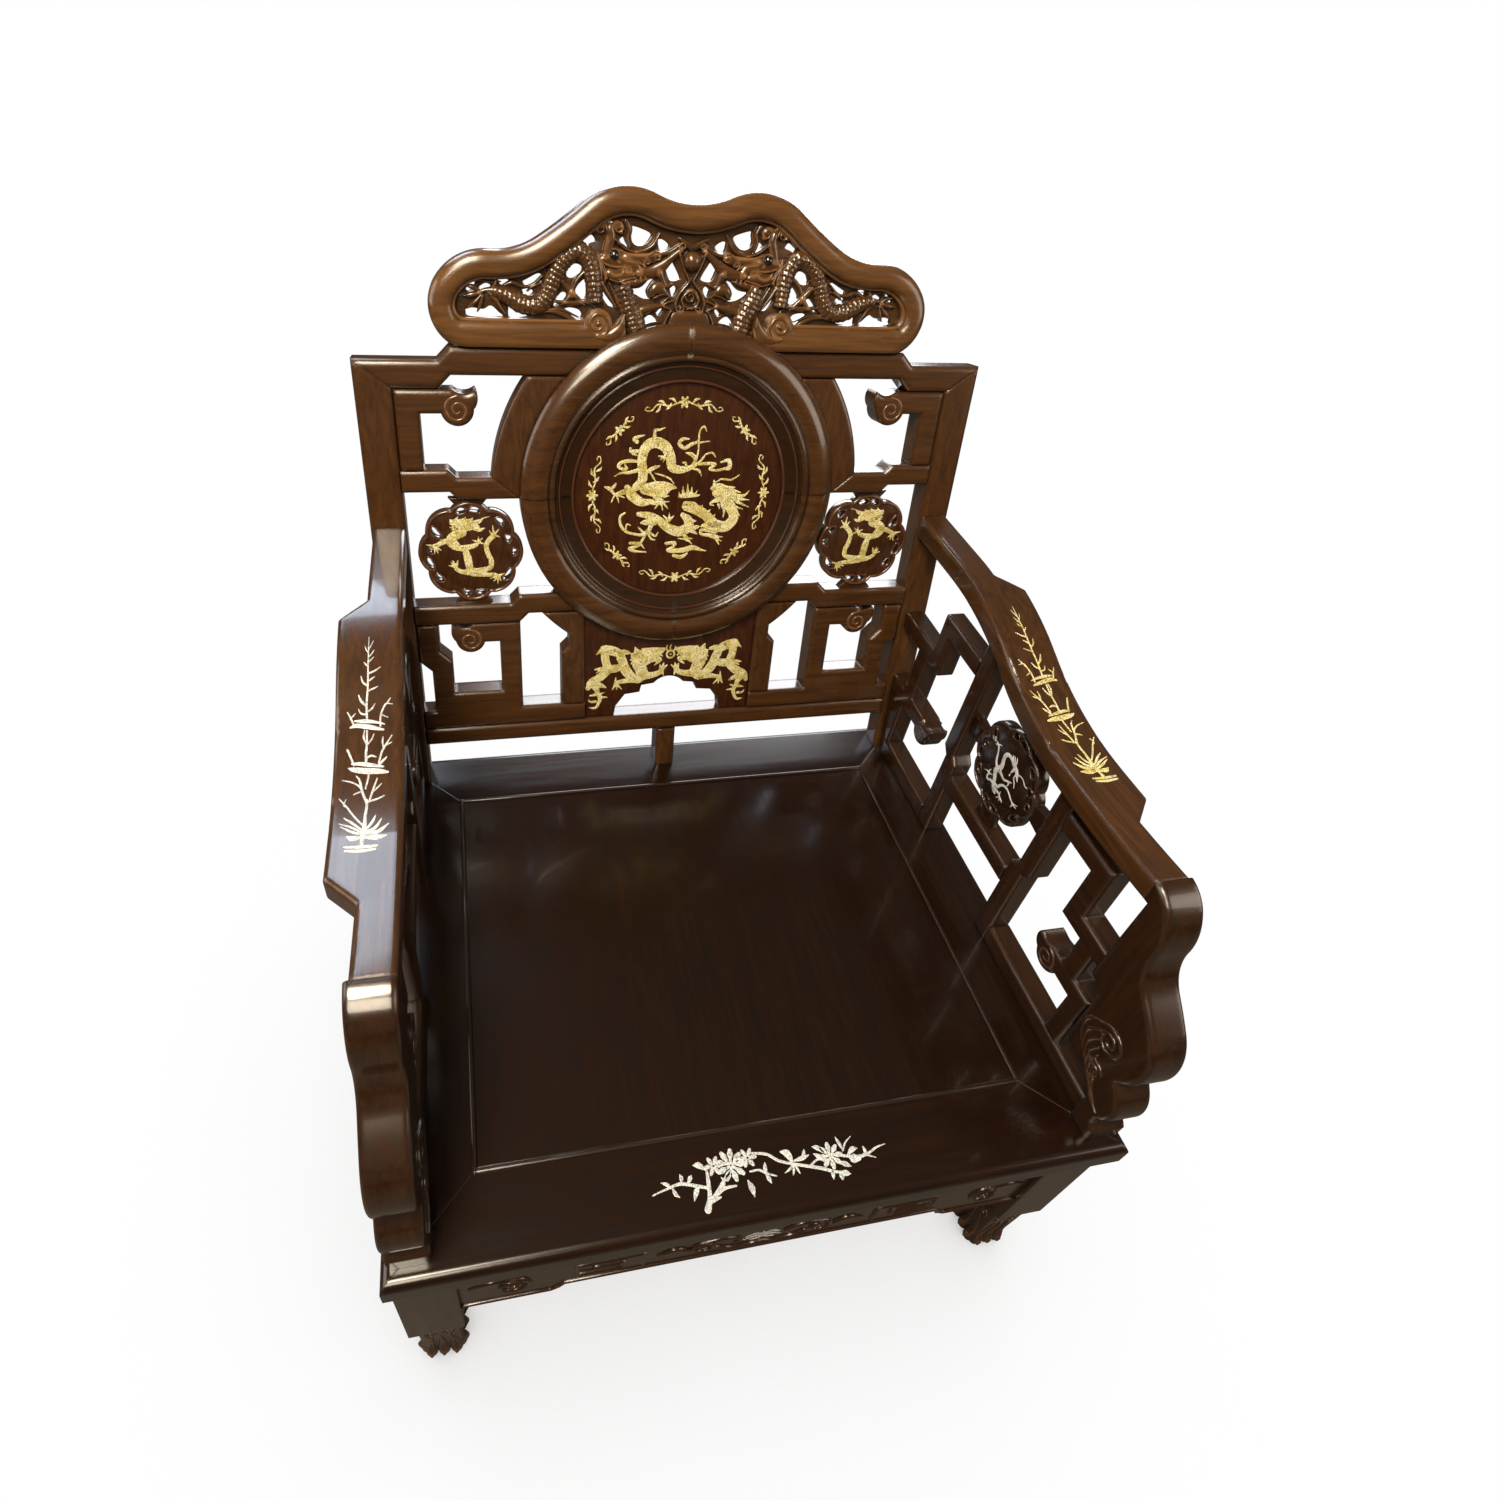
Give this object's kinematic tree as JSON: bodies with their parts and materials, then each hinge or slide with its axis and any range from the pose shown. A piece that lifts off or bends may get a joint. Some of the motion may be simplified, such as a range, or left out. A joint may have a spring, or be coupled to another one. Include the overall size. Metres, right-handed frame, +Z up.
{
  "type": "chinese armchair",
  "caption": "Dark rosewood armchair with a leaning fretted back, inlaid roundel, pierced dragon crest, scrolled fretted arms, framed seat and claw-footed legs.",
  "frame": {"origin": "on the floor, under the middle of the chair's overall box", "axes": "+Z up, -Y towards the sitter's front, +X to the right seen from the front"},
  "size_m": [0.776, 0.7713, 1.0226],
  "materials": {
    "rosewood": "polished lacquer over dark reddish-brown rosewood",
    "rosewood_panel": "polished lacquer, flat panel grain",
    "carved_rosewood": "carved and lacquered, rubbed bright on the high points",
    "pearl_inlay": "thin mother-of-pearl inlay, engraved and polished flush"
  },
  "bodies": {
    "root": {"apron_front": "rosewood", "apron_left": "rosewood", "apron_rear": "rosewood", "apron_right": "rosewood", "arm_bottom_rail_front_left": "rosewood", "arm_bottom_rail_front_right": "rosewood", "arm_bottom_rail_rear_left": "rosewood", "arm_bottom_rail_rear_right": "rosewood", "arm_fret_front_left": "rosewood", "arm_fret_front_right": "rosewood", "arm_fret_rear_left": "rosewood", "arm_fret_rear_right": "rosewood", "arm_front_post_left": "rosewood", "arm_front_post_right": "rosewood", "arm_medallion_left": "carved_rosewood", "arm_medallion_rail_left": "rosewood", "arm_medallion_rail_right": "rosewood", "arm_medallion_right": "carved_rosewood", "arm_stile_front_left": "rosewood", "arm_stile_front_right": "rosewood", "arm_stile_rear_left": "rosewood", "arm_stile_rear_right": "rosewood", "armrest_left": "rosewood", "armrest_right": "rosewood", "back_post_left": "rosewood", "back_post_right": "rosewood", "bracket_left": "rosewood", "bracket_right": "rosewood", "crest_dragons": "carved_rosewood", "crest_frame": "rosewood", "leg_front_left": "rosewood", "leg_front_right": "rosewood", "leg_rear_left": "rosewood", "leg_rear_right": "rosewood", "lower_fret_rail_left": "rosewood", "lower_fret_rail_right": "rosewood", "lower_rail": "rosewood", "medallion_left": "carved_rosewood", "medallion_right": "carved_rosewood", "muntin": "rosewood", "panel_stile_left": "rosewood", "panel_stile_right": "rosewood", "roundel_disc": "rosewood_panel", "roundel_ring": "rosewood", "seat_battens": "rosewood", "seat_front_rail": "rosewood", "seat_left_rail": "rosewood", "seat_panel": "rosewood_panel", "seat_rear_rail": "rosewood", "seat_right_rail": "rosewood", "shoulder_left": "rosewood", "shoulder_right": "rosewood", "square_fret_left": "rosewood", "square_fret_right": "rosewood", "top_rail_left": "rosewood", "top_rail_right": "rosewood", "under_panel": "rosewood_panel", "upper_fret_rail_left": "rosewood", "upper_fret_rail_right": "rosewood", "waist_moulding": "rosewood"}
  },
  "joints": []
}
